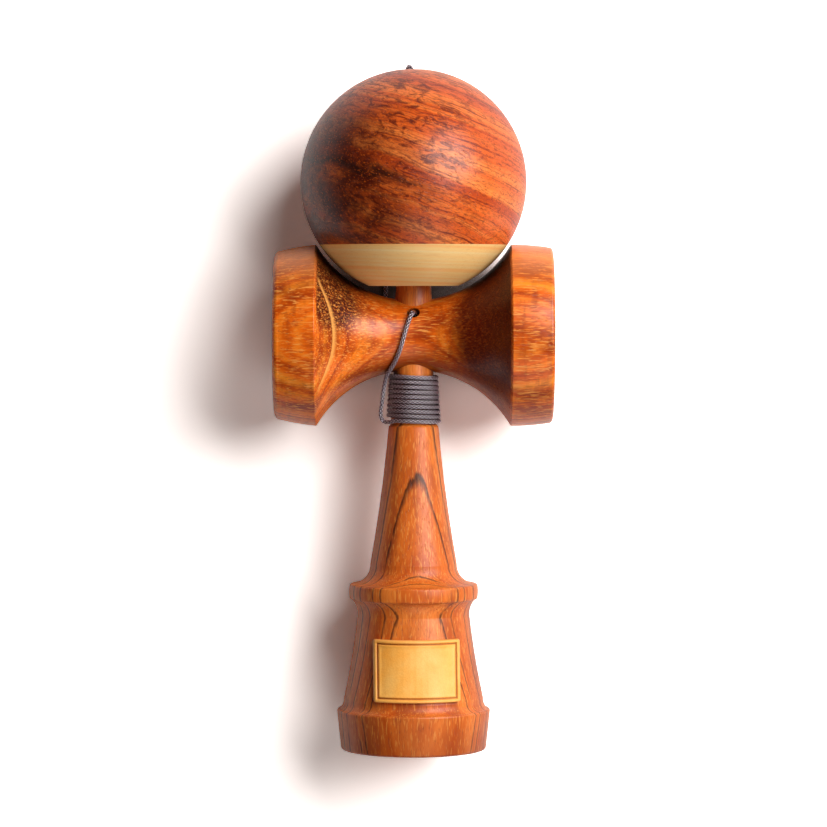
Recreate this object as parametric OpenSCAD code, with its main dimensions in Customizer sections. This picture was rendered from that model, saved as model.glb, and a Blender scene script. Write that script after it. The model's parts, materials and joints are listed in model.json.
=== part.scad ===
// Wooden kendama, lying on a table with its ball put on the spike.
//
// Row frame: +Z up from the table, +Y along the toy towards the ball, +X towards the big cup.
// The origin lies on the table, under the middle of the toy.
// The pieces are drawn standing, in the ken's own frame, and then laid down together:
// there +Z runs up the spike, -Y is the front, and z = 0 is the axis of the cross-piece.

/* [Ball] */
// Diameter of the ball
ball_d = 60; // [57:0.5:63]
// Distance from the ball's centre down to the glue seam between its two woods
seam_drop = 16.6; // [13:0.1:20]
// Diameter of the flat foot round the ball's hole
foot_d = 24; // [22.8:0.1:27]
// Diameter of the hole that goes over the spike
hole_d = 21; // [19.6:0.1:22]
// Bevel round the mouth of the hole
hole_bevel = 0.6; // [0.2:0.1:0.8]
// Angle of the hole's conical end, measured from its axis
hole_end_angle = 44; // [38:1:55]
// Diameter of the string hole through the ball's top
top_hole_d = 3.8; // [2.6:0.1:4.6]
// Diameter of the countersink of that string hole
top_sink_d = 8; // [6:0.1:9]

/* [Cross-piece] */
// Length of the cross-piece over its two cups
sarado_len = 74.2; // [68:0.2:80]
// Distance between the two shoulders
shoulder_span = 51.4; // [48:0.2:54]
// Diameter over the shoulders
shoulder_d = 48.4; // [46:0.2:52]
// Easing of the shoulder's edge
shoulder_ease = 0.4; // [0.2:0.1:0.8]
// Diameter of the waist
waist_d = 18.6; // [17:0.1:21]
// Outer diameter of the big cup's rim
big_rim_d = 47; // [44:0.2:48]
// Rounding of the big cup's rim
big_rim_round = 1.1; // [0.4:0.1:1.5]
// Diameter of the big cup's dish at the rim
big_cup_d = 40; // [36:0.2:42]
// Radius that the big cup's dish is turned to
big_dish_r = 27; // [23:0.5:31]
// Outer diameter of the small cup's rim
small_rim_d = 45.2; // [42:0.2:48]
// Rounding of the small cup's rim
small_rim_round = 1.7; // [0.6:0.1:2]
// Diameter of the small cup's dish at the rim
small_cup_d = 37; // [33:0.2:39]
// Radius that the small cup's dish is turned to
small_dish_r = 26; // [22:0.5:31]
// Swell of the cups' outer walls
cup_swell = 0.2; // [0.05:0.05:0.5]

/* [Ken] */
// Height of the spike's tip above the cross-piece's axis
spike_h = 48; // [44:0.5:51]
// Diameter of the spike's rounded tip
tip_d = 5; // [3.5:0.1:6.5]
// Diameter of the ken at the top of the cross-piece
seat_top_d = 9.8; // [8.8:0.1:10.2]
// Diameter of the ken at the underside of the cross-piece
seat_foot_d = 10.6; // [10.3:0.1:11.4]
// Diameter at the foot of the neck that the string is wound on
neck_foot_d = 12.2; // [11.6:0.1:12.8]
// Distance from the cross-piece's axis down to the ledge under the winding
ledge_drop = 24.4; // [24:0.1:27]
// Height of the ledge's slope
ledge_h = 0.8; // [0.4:0.1:1.5]
// Diameter of the handle at the ledge
ledge_d = 13.4; // [12.9:0.1:14.5]
// Distance from the cross-piece's axis down to the foot of the handle
handle_drop = 61.1; // [58:0.1:63]
// Diameter of the handle at its foot
handle_foot_d = 23.2; // [20:0.1:25]
// Hollow of the handle's long curve
handle_hollow = 0.42; // [0.1:0.02:0.9]
// Hollow of the flare from the handle to the ring
flare_hollow = 1.5; // [0.5:0.1:1.9]
// Distance from the cross-piece's axis down to the top of the ring
ring_drop = 66.4; // [65:0.1:69]
// Diameter of the ring
ring_d = 34.4; // [31:0.1:37]
// Thickness of the ring
ring_h = 4.2; // [3:0.1:5]
// Rounding of the ring's two edges
ring_round = 0.7; // [0.3:0.1:1]
// Swell of the ring's edge
ring_swell = 0.1; // [0.05:0.05:0.3]
// Diameter of the collar under the ring
collar_d = 29.9; // [26:0.1:31]
// Distance from the cross-piece's axis down to the collar
collar_drop = 74.6; // [73:0.1:77]
// Hollow between the ring and the collar
collar_hollow = 0.4; // [0.1:0.1:0.8]
// Diameter of the bell at its foot
bell_foot_d = 37.4; // [34:0.1:39]
// Distance from the cross-piece's axis down to the foot of the bell
bell_drop = 97.2; // [94:0.1:99]
// Hollow of the bell's curve
bell_hollow = 0.3; // [0.1:0.05:0.8]
// Hollow between the bell and the base
bell_step_hollow = 0.35; // [0.1:0.05:0.6]
// Distance from the cross-piece's axis down to the top of the base
base_drop = 99.8; // [99.4:0.1:102]
// Diameter of the base at its top edge
base_d = 41; // [40:0.1:44]
// Diameter of the base at its foot
base_foot_d = 39; // [36:0.1:39.6]
// Height of the base
base_h = 11.1; // [9:0.1:14]
// Rounding of the base's top edge
base_round = 0.7; // [0.3:0.1:1]
// Rounding of the base's bottom edge
rim_round = 0.9; // [0.3:0.1:1.2]
// Diameter of the base cup's dish at the rim
base_cup_d = 32.4; // [28:0.2:34]
// Radius that the base cup's dish is turned to
base_dish_r = 22; // [18:0.5:31]

/* [Leather patch] */
// Width of the patch, as seen from the front
patch_w = 23.2; // [18:0.2:26]
// Height of the patch
patch_h = 16.9; // [12:0.1:18]
// Thickness of the leather
patch_t = 1.4; // [0.8:0.1:2]
// Radius of the patch's corners
patch_corner = 1.2; // [0.4:0.1:3]
// How far the patch sits below the middle of the bell
patch_lower = 2.4; // [0:0.1:2.6]
// How far the patch is turned round the bell, towards the big cup
patch_turn = 3.5; // [-10:0.5:10]

/* [String] */
// Diameter of the braided string
string_d = 1.3; // [1:0.05:1.4]
// Diameter of the string as it is drawn in the winding, thin enough to keep its turns apart
wound_d = 0.87; // [0.6:0.01:0.87]
// Distance from one turn of the winding to the next
turn_pitch = 1.29; // [1.28:0.01:1.3]
// Number of turns seen from the front
turns = 10; // [6:1:10]
// Diameter of the string hole in the front of the cross-piece
string_hole_d = 3.4; // [2.4:0.1:3.8]
// Diameter of the string hole through the ken
ken_hole_d = 2.4; // [2:0.1:2.8]
// Angle of both holes above the front of the waist
string_hole_lean = 42; // [38:1:46]
// Diameter of the bead that stops the string inside the ball
bead_d = 8; // [6:0.1:9]
// Diameter of each stopper knot
knot_d = 3.5; // [3:0.1:4]
// Number of wraps in each stopper knot
knot_wraps = 2; // [2:1:3]
// Distance from one wrap of a knot to the next
wrap_step = 1.15; // [1:0.05:1.3]
// How far behind the ken's axis the knot inside it stops
ken_knot_back = 2.2; // [1.6:0.1:2.8]

/* [Fits] */
// Clearance round the ken in the cross-piece's tapered bore
seat_gap = 0.03; // [0.01:0.01:0.1]
// How far the ken's seat and the bore run on past the waist, on both sides
seat_over = 0.5; // [0.2:0.1:1]
// Thickness of the glue under the leather patch
glue_gap = 0.05; // [0.02:0.01:0.15]
// Gap between the ball and the shoulders that it rests against
rest_gap = 0.9; // [0.3:0.1:0.9]
// Gap between the winding and the neck inside it
wind_gap = 0.1; // [0.05:0.05:0.3]
// Gap between the string and the bead's bore, and between the bead and its seat
bead_gap = 0.3; // [0.1:0.05:0.5]
// Gap between a stopper knot and what it stops against, and round it in its pocket
knot_gap = 0.3; // [0.1:0.05:0.5]
// Space between the spike's tip and the stopper knot above it
tip_clear = 1.2; // [0.6:0.1:3]

/* [Hidden] */

// Largest distance between a true curve and the chords that draw it
curve_error = 0.01;
$fn = 128;
// Segments of a small round
small_fn = 48;

// Colours of the woods, the leather and the string
ken_brown = [0.66, 0.39, 0.20];
sarado_brown = [0.72, 0.36, 0.12];
crown_brown = [0.50, 0.22, 0.11];
maple = [0.88, 0.70, 0.46];
tan_leather = [0.85, 0.60, 0.32];
bead_brown = [0.62, 0.40, 0.22];
string_grey = [0.42, 0.41, 0.45];

ball_r = ball_d / 2;
shoulder_r = shoulder_d / 2;
shoulder_x = shoulder_span / 2;
waist_r = waist_d / 2;
sarado_half = sarado_len / 2;
foot_drop = sqrt(pow(ball_r, 2) - pow(foot_d / 2, 2));

// The sag of a quarter circle's arc over its chord, as a share of its radius
quarter_sag = 1 - cos(45);

// The toy lies on its two shoulders and on the base's top edge, which tips the spike up.
base_edge_z = base_drop + base_round;
base_edge_r = base_d / 2 - base_round;
ken_tilt = asin((shoulder_r - base_round) / norm([base_edge_z, base_edge_r]))
    - atan2(base_edge_r, base_edge_z);

// The ball lies on the table too, with its axis beside the ken's: a ball of the usual size lies
// against the shoulders, and one that goes in between them lies against the waist.
shoulder_reach = sqrt(max(0, pow(ball_r + rest_gap, 2) - pow(shoulder_x, 2)));
ball_out = max(shoulder_r - shoulder_ease + shoulder_reach, waist_r + ball_r + rest_gap);
ball_rise = ball_r - shoulder_r;
ball_run = sqrt(pow(ball_out, 2) - pow(ball_rise, 2));
ball_up = ball_run * cos(ken_tilt) + ball_rise * sin(ken_tilt);
ball_front = ball_rise * cos(ken_tilt) - ball_run * sin(ken_tilt);

// The row's origin is under the middle of the toy's length.
foot_z = base_drop + base_h;
foot_edge_z = foot_z - rim_round;
foot_edge_r = base_foot_d / 2 - rim_round;
foot_reach = foot_edge_z * cos(ken_tilt) + foot_edge_r * sin(ken_tilt) + rim_round;
lay_y = (foot_reach - ball_run - ball_r) / 2;

seat_half = waist_r + seat_over;

// Inside the ball, counted from its centre: the knot over the spike's tip, the bead, the cone.
knot_r = knot_d / 2;
knot_len = string_d + (knot_wraps - 1) * wrap_step;
ball_knot_z = spike_h - ball_up + tip_clear;
bead_z = ball_knot_z + knot_len + knot_gap + bead_d / 2;
hole_apex_z = bead_z + (bead_d / 2 + bead_gap) / sin(hole_end_angle);
hole_wall_z = hole_apex_z - hole_d / 2 / tan(hole_end_angle);
top_sink_h = (top_sink_d - top_hole_d) / 2;
top_sink_z = sqrt(pow(ball_r, 2) - pow(top_sink_d / 2, 2)) - top_sink_h;

// Where the stretches of string inside the ball and the ken end, on the way out
string_top_z = top_sink_z;
front_start = seat_foot_d / 2 + string_d;

// The knot inside the ken, counted along the slanted string hole from the cross-piece's axis
ken_knot_at = -ken_knot_back;
ken_knot_far = ken_knot_at - knot_len;

// Each stretch of an outline is [radius, height, bow]: bow is how far the stretch to the next
// point swells outwards (above 0) or is hollowed (below 0), as one circular arc.
bell_outline = [
    [collar_d / 2, -collar_drop, -bell_hollow],
    [bell_foot_d / 2, -bell_drop, -bell_step_hollow]
];
ken_outline = concat(
    [
        [0, spike_h, tip_d / 2 * quarter_sag],
        [tip_d / 2, spike_h - tip_d / 2, 0],
        [seat_top_d / 2, seat_half, 0],
        [seat_foot_d / 2, -seat_half, 0],
        [neck_foot_d / 2, ledge_h - ledge_drop, 0],
        [ledge_d / 2, -ledge_drop, -handle_hollow],
        [handle_foot_d / 2, -handle_drop, -flare_hollow],
        [ring_d / 2 - ring_round, -ring_drop, ring_round * quarter_sag],
        [ring_d / 2, -ring_drop - ring_round, ring_swell],
        [ring_d / 2, -ring_drop - ring_h + ring_round, ring_round * quarter_sag],
        [ring_d / 2 - ring_round, -ring_drop - ring_h, -collar_hollow]
    ],
    bell_outline,
    [
        [base_edge_r, -base_drop, base_round * quarter_sag],
        [base_d / 2, -base_edge_z, 0],
        [base_foot_d / 2, -foot_edge_z, rim_round * quarter_sag],
        [foot_edge_r, -foot_z, 0]
    ]
);
sarado_outline = [
    [big_rim_d / 2 - big_rim_round, sarado_half, big_rim_round * quarter_sag],
    [big_rim_d / 2, sarado_half - big_rim_round, cup_swell],
    [shoulder_r, shoulder_x + shoulder_ease, shoulder_ease * quarter_sag / 2],
    [shoulder_r - shoulder_ease, shoulder_x, waist_r + shoulder_ease - shoulder_r],
    [shoulder_r - shoulder_ease, -shoulder_x, shoulder_ease * quarter_sag / 2],
    [shoulder_r, -shoulder_x - shoulder_ease, cup_swell],
    [small_rim_d / 2, small_rim_round - sarado_half, small_rim_round * quarter_sag],
    [small_rim_d / 2 - small_rim_round, -sarado_half, 0]
];

// The winding: a spiral up the neck, from the left of the front to the right of the back
rings_per_turn = 24;
wound_sides = 6;
cord_sides = 8;
wind_start = -45;
wind_end = (turns - 1) * 360 + 150;
wind_rings = round((wind_end - wind_start) / 360 * rings_per_turn);
wind_low_z = ledge_h - ledge_drop + string_d / 2 + wind_gap;

function neck_r(z) =
    let (share = (-seat_half - z) / (ledge_drop - ledge_h - seat_half))
    seat_foot_d / 2 + share * (neck_foot_d - seat_foot_d) / 2;
function wind_point(turn) =
    let (z = wind_low_z + turn / 360 * turn_pitch, r = neck_r(z) + string_d / 2 + wind_gap)
    [r * sin(turn), -r * cos(turn), z];
function unit(v) = v / norm(v);

spiral = [
    for (i = [0:wind_rings])
        wind_point(wind_start + i / wind_rings * (wind_end - wind_start))
];
wind_in = unit(spiral[1] - spiral[0]);
wind_out = unit(spiral[wind_rings] - spiral[wind_rings - 1]);
wind_first = spiral[0] - wind_in * wound_d;
wind_last = spiral[wind_rings] + wind_out * wound_d;
winding_path = concat([wind_first], spiral, [wind_last]);

// Gaps between points of the winding that are more than half a turn apart
wind_gaps = [
    for (i = [0:wind_rings])
        for (j = [i + rings_per_turn / 2 + 1:1:wind_rings])
            norm(spiral[i] - spiral[j]) - wound_d
];
echo(str("least gap of the winding to itself: ", min(wind_gaps), " mm"));

// Front run of the string, in the ken's frame: out of the string hole, down over the waist
// and along the left of the winding, to the loop that starts the lowest turn
front_route = [
    [-0.2, -7.5, 6.0], [-0.6, -8.7, 5.7], [-1.1, -9.3, 4.4], [-1.8, -9.8, 2.4], [-2.4, -10.1, 0.4],
    [-3.1, -10.0, -2.1], [-3.9, -9.3, -4.5], [-4.9, -8.0, -6.8], [-6.0, -6.3, -8.7],
    [-7.0, -4.6, -10.3], [-7.5, -3.4, -12.0], [-7.9, -2.6, -14.0], [-8.2, -2.1, -16.2],
    [-8.5, -1.7, -18.4], [-8.8, -1.4, -20.3], [-8.7, -1.5, -21.8], [-8.0, -2.0, -22.9],
    [-6.9, -2.9, -23.1]
];

// Back run, in the row's frame: from the winding down to the table, along it beside the ball's
// resting point, and up behind the ball to the string hole in its top
back_route = [
    [-1.0, 10.2, 16.2], [-3.2, 11.1, 13.9], [-5.0, 12.6, 11.2], [-6.4, 14.7, 8.4],
    [-7.2, 17.3, 5.7], [-7.6, 20.3, 3.4], [-7.7, 23.5, 1.8], [-7.7, 26.8, 0.9],
    [-7.6, 30.0, 0.7], [-7.6, 33.4, 0.7], [-7.9, 36.8, 0.7], [-8.5, 40.2, 0.7],
    [-9.2, 43.6, 0.7], [-10.0, 47.0, 0.7], [-10.7, 50.4, 0.7], [-11.1, 53.9, 0.7],
    [-11.3, 57.4, 0.7], [-11.3, 60.9, 0.7], [-11.1, 64.4, 0.7], [-10.6, 67.9, 0.7],
    [-9.7, 71.3, 0.7], [-8.5, 74.6, 0.7], [-7.1, 77.8, 0.7], [-5.6, 81.0, 0.7],
    [-4.2, 84.2, 0.7], [-3.1, 87.2, 0.8], [-2.3, 89.6, 1.6], [-1.8, 91.1, 3.4],
    [-1.6, 91.7, 6.0], [-1.5, 91.9, 9.0], [-1.5, 91.9, 12.4], [-1.5, 91.8, 15.8],
    [-1.5, 91.8, 19.2], [-1.5, 91.8, 22.6], [-1.4, 91.8, 25.8], [-1.2, 91.8, 28.4],
    [-0.8, 91.4, 29.7], [-0.3, 90.5, 30.7]
];

// Where a point of the ken's frame lies once the toy is laid down, and a point of the ball's axis
function laid(p) = [
    p.x,
    lay_y + p.z * cos(ken_tilt) + p.y * sin(ken_tilt),
    shoulder_r + p.z * sin(ken_tilt) - p.y * cos(ken_tilt)
];
function on_ball_axis(z) = laid([0, -ball_front, ball_up + z]);
function on_string_hole(out) = out * [0, -cos(string_hole_lean), sin(string_hole_lean)];

front_path = concat(
    [on_string_hole(front_start), on_string_hole(front_start + string_d)],
    front_route,
    [wind_first - wind_in * string_d, wind_first]
);
back_path = concat(
    [laid(wind_last), laid(wind_last + wind_out * string_d)],
    back_route,
    [on_ball_axis(string_top_z + string_d), on_ball_axis(string_top_z)]
);

// A tube is swept along the points of a path, with its rings kept from twisting. The first ring
// is turned towards a direction that no path starts along.
any_side = [0.3, 0.2, 1];
function directions(path) =
    let (last = len(path) - 1)
    [for (i = [0:last]) unit(path[min(i + 1, last)] - path[max(i - 1, 0)])];
function square_to(v, direction) = unit(v - (v * direction) * direction);
function side_ways(ways, first) = [
    for (
        i = 0, side = square_to(first, ways[0]);
        i < len(ways);
        i = i + 1, side = square_to(side, ways[min(i, len(ways) - 1)])
    )
        side
];

module tube(path, d, sides) {
    ways = directions(path);
    across = side_ways(ways, any_side);
    last = len(path) - 1;
    points = [
        for (i = [0:last])
            for (k = [0:sides - 1])
                let (a = 360 * k / sides)
                path[i] + d / 2 * (cos(a) * across[i] + sin(a) * cross(ways[i], across[i]))
    ];
    walls = [
        for (i = [0:last - 1])
            for (k = [0:sides - 1])
                let (a = i * sides + k, b = i * sides + (k + 1) % sides)
                each [[a, a + sides, b], [b, a + sides, b + sides]]
    ];
    top = last * sides;
    first_end = [for (k = [1:sides - 2]) [0, k, k + 1]];
    last_end = [for (k = [1:sides - 2]) [top, top + k + 1, top + k]];
    polyhedron(points, concat(walls, first_end, last_end));
}

// Which way an arc bows from the chord between two points, outwards or inwards
function bow_way(p, q, bow) =
    let (along = unit(q - p))
    sign(bow) * [-along.y, along.x];

// The block on a chord that holds the arc: its two far corners
function bow_block(p, q, bow) = [
    p + 2 * abs(bow) * bow_way(p, q, bow),
    q + 2 * abs(bow) * bow_way(p, q, bow)
];

// What an arc takes away: a hollow arc its segment, a swelling arc the rest of its block
module bow_cut(p, q, bow) {
    depth = abs(bow);
    block = bow_block(p, q, bow);
    r = (pow(norm(q - p) / 2, 2) + pow(depth, 2)) / (2 * depth);
    centre = (p + q) / 2 + bow_way(p, q, bow) * (depth - r);
    steps = max(small_fn, ceil(180 / acos(1 - curve_error / r)));
    if (bow < 0)
        intersection() {
            polygon([p, q, block[1], block[0]]);
            translate(centre)
                circle(r = r, $fn = steps);
        }
    else
        difference() {
            polygon([p, q, block[1], block[0]]);
            translate(centre)
                circle(r = r, $fn = steps);
        }
}

// A turned piece: the outline, top first, spun round the z axis and grown by extra
module turned(outline, extra = 0) {
    points = [for (o = outline) [o.x + (o.x > 0 ? extra : 0), o.y]];
    last = len(outline) - 1;
    blocked = [
        for (i = [0:last - 1])
            each concat(
                [points[i]],
                outline[i].z > 0 ? bow_block(points[i], points[i + 1], outline[i].z) : []
            )
    ];
    rotate_extrude()
        difference() {
            polygon(concat([[0, points[0].y]], blocked, [points[last], [0, points[last].y]]));
            for (i = [0:last - 1])
                if (outline[i].z != 0)
                    bow_cut(points[i], points[i + 1], outline[i].z);
        }
}

// A dish turned into the face at z = 0, opening upwards
module dish(mouth_d, r) {
    translate([0, 0, sqrt(pow(r, 2) - pow(mouth_d / 2, 2))])
        sphere(r = r);
}

// A rod along the slanted string hole, between two distances from the cross-piece's axis
module along_string_hole(from, to, d) {
    rotate([90 - string_hole_lean, 0, 0])
        translate([0, 0, from])
            cylinder(h = to - from, d = d);
}

// A stopper knot: wraps of string side by side round the string, upwards from z = 0
module knot() {
    rotate_extrude()
        union() {
            square([knot_r - string_d / 2, knot_len]);
            for (k = [0:knot_wraps - 1])
                translate([knot_r - string_d / 2, string_d / 2 + k * wrap_step])
                    circle(d = string_d, $fn = small_fn);
        }
}

module lay() {
    translate([0, lay_y, shoulder_r])
        rotate([ken_tilt - 90, 0, 0])
            children();
}

module at_ball() {
    translate([0, -ball_front, ball_up])
        children();
}

// Everything that is cut out of the ball: the hole, its cone, the bevel and the string hole
module ball_bores() {
    hole_r = hole_d / 2;
    translate([0, 0, -ball_r])
        cylinder(h = ball_r + hole_wall_z, r = hole_r);
    translate([0, 0, hole_wall_z])
        cylinder(h = hole_apex_z - hole_wall_z, r1 = hole_r, r2 = 0);
    translate([0, 0, -foot_drop - hole_bevel])
        cylinder(h = 3 * hole_bevel, r1 = hole_r + 2 * hole_bevel, r2 = hole_r - hole_bevel);
    translate([0, 0, hole_wall_z])
        cylinder(h = ball_d, d = top_hole_d);
    translate([0, 0, top_sink_z])
        cylinder(h = 3 * top_sink_h, d1 = top_hole_d, d2 = top_hole_d + 6 * top_sink_h);
}

module ken() {
    color(ken_brown)
        lay()
            difference() {
                turned(ken_outline);
                translate([0, 0, -foot_z])
                    rotate([180, 0, 0])
                        dish(base_cup_d, base_dish_r);
                along_string_hole(ken_knot_at, seat_foot_d, ken_hole_d);
                along_string_hole(-seat_foot_d, ken_knot_at + knot_gap, 2 * (knot_r + knot_gap));
            }
}

module sarado() {
    color(sarado_brown)
        lay()
            difference() {
                rotate([0, 90, 0])
                    turned(sarado_outline);
                translate([sarado_half, 0, 0])
                    rotate([0, 90, 0])
                        dish(big_cup_d, big_dish_r);
                translate([-sarado_half, 0, 0])
                    rotate([0, -90, 0])
                        dish(small_cup_d, small_dish_r);
                translate([0, 0, -seat_half])
                    cylinder(
                        h = 2 * seat_half,
                        r1 = seat_foot_d / 2 + seat_gap,
                        r2 = seat_top_d / 2 + seat_gap
                    );
                along_string_hole(0, shoulder_r, string_hole_d);
            }
}

module ball_crown() {
    color(crown_brown)
        lay()
            at_ball()
                difference() {
                    sphere(r = ball_r);
                    translate([-ball_r, -ball_r, -seam_drop - ball_d])
                        cube(ball_d);
                    ball_bores();
                }
}

module ball_foot() {
    color(maple)
        lay()
            at_ball()
                difference() {
                    intersection() {
                        sphere(r = ball_r);
                        translate([0, 0, -foot_drop])
                            cylinder(h = foot_drop - seam_drop, r = ball_r);
                    }
                    ball_bores();
                }
}

module leather_patch() {
    middle_z = -(collar_drop + bell_drop) / 2 - patch_lower;
    color(tan_leather)
        lay()
            rotate([0, 0, patch_turn])
                intersection() {
                    difference() {
                        turned(bell_outline, glue_gap + patch_t);
                        turned(bell_outline, glue_gap);
                    }
                    translate([0, 0, middle_z])
                        rotate([90, 0, 0])
                            linear_extrude(base_d)
                                round_cornered(patch_w, patch_h, patch_corner);
                }
}

// A rectangle with round corners, centred
module round_cornered(w, h, r) {
    square([w - 2 * r, h], center = true);
    square([w, h - 2 * r], center = true);
    for (x = [-1, 1], y = [-1, 1])
        translate([x * (w / 2 - r), y * (h / 2 - r)])
            circle(r = r, $fn = small_fn);
}

module bead() {
    color(bead_brown)
        lay()
            at_ball()
                translate([0, 0, bead_z])
                    difference() {
                        sphere(d = bead_d);
                        cylinder(h = 2 * bead_d, d = string_d + 2 * bead_gap, center = true);
                    }
}

module ball_knot() {
    color(string_grey)
        lay()
            at_ball()
                translate([0, 0, ball_knot_z])
                    knot();
}

module ken_knot() {
    color(string_grey)
        lay()
            rotate([90 - string_hole_lean, 0, 0])
                translate([0, 0, ken_knot_far])
                    knot();
}

module string_in_ken() {
    color(string_grey)
        lay()
            along_string_hole(ken_knot_at, front_start, string_d);
}

module string_front() {
    color(string_grey)
        lay()
            tube(front_path, string_d, cord_sides);
}

module string_winding() {
    color(string_grey)
        lay()
            tube(winding_path, wound_d, wound_sides);
}

module string_back() {
    color(string_grey)
        tube(back_path, string_d, cord_sides);
}

module string_in_ball() {
    from = ball_knot_z + knot_len;
    color(string_grey)
        lay()
            at_ball()
                translate([0, 0, from])
                    cylinder(h = string_top_z - from, d = string_d);
}

ken();
sarado();
ball_crown();
ball_foot();
leather_patch();
bead();
ball_knot();
ken_knot();
string_in_ken();
string_front();
string_winding();
string_back();
string_in_ball();
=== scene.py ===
# %% [markdown]
# # A wooden kendama, dressed for its picture
# The turned pieces of this toy come ready from the construction model: the handle (the ken), the
# cross-piece with its cups (the sarado) and the two-wood ball. This lesson gives them their woods,
# braids the string that joins them, and lays the leather patch on the handle. Everything is in
# metres and in the frame of the construction model, so nothing has to be fitted afterwards.

# %% Load the construction model
import json
from math import atan2, copysign, cos, hypot, pi, radians, sin, sqrt

import bpy
from mathutils import Matrix, Vector
from mathutils.bvhtree import BVHTree


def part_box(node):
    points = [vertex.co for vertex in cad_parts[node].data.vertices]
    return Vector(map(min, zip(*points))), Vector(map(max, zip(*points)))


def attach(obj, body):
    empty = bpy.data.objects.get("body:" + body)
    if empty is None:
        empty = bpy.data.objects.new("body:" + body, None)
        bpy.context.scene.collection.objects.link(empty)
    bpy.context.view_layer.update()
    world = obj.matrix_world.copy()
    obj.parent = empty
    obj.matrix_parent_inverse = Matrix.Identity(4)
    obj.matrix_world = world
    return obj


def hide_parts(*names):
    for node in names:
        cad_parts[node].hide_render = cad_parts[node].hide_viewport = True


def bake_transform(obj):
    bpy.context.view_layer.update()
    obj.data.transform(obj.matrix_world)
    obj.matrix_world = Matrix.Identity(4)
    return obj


MM = 0.001

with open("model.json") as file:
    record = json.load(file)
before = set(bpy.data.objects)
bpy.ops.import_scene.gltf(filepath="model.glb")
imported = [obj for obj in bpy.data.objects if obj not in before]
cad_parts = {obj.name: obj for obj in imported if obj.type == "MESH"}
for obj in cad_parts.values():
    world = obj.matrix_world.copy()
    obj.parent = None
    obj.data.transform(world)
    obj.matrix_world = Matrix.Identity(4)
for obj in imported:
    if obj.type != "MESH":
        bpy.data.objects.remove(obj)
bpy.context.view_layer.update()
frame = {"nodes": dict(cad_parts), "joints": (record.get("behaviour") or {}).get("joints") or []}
nodes = frame["nodes"]
print("CAD pieces:", sorted(nodes))

# %% [markdown]
# ## Where things are
# Two frames help to place the woods. The ken's frame has its origin where the handle's axis crosses
# the cross-piece, and the ball's frame has it in the middle of the ball. Both lean up from the table
# by the same small angle, which the lifting joint's direction gives.

# %% Find the two frames
lift, spin = frame["joints"]
along = Vector(lift["axis"])
lean = atan2(along.z, along.y)
sarado_low, sarado_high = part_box("sarado")
ken_origin = (sarado_low + sarado_high) / 2
ball_origin = Vector(spin["pos_m"])
print("lean", round(lean, 4), "ken origin", ken_origin, "ball origin", ball_origin)


def from_ken(x, y, z):
    """A point of the ken's frame, in millimetres, as a place in the row's frame, in metres."""
    turned = Matrix.Rotation(lean - pi / 2, 3, "X") @ Vector((x, y, z))
    return ken_origin + turned * MM


# %% [markdown]
# ## The camera
# The picture looks straight down from about a metre with a long lens, so the raised ball and cups
# look only a little larger than what lies on the table.

# %% Set the camera
camera_height = 1.0
camera_lens, camera_sensor = 159, 36
camera_aim_y = -0.4 * MM

camera_data = bpy.data.cameras.new("camera")
camera_data.lens = camera_lens
camera_data.sensor_width = camera_sensor
camera = bpy.data.objects.new("camera", camera_data)
camera.location = (0, camera_aim_y, camera_height)
bpy.context.scene.collection.objects.link(camera)
bpy.context.scene.camera = camera
print("camera at", tuple(camera.location), "lens", camera_lens)

# %% [markdown]
# ## The string's route
# One limp braided string joins the toy. Its knot sits inside the ken. It comes out of a slanted hole
# in the front of the cross-piece, runs down beside the neck to a loop at its foot, winds round the
# neck from the bottom up, and goes behind the toy and along the table to the hole in the top of the
# ball. A free run has no formula, so its points are listed one by one, the same ones as in the
# construction model. The winding has one, so a loop works it out: a helix on the neck's cone, whose
# turns tip down a little on the right.

# %% Lay out the string's route
string_d = 1.3 * MM
string_r = string_d / MM / 2
hole_lean = radians(42)
knot_depth, hole_middle, hole_mouth = 2.2, 2, 6.6

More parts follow.
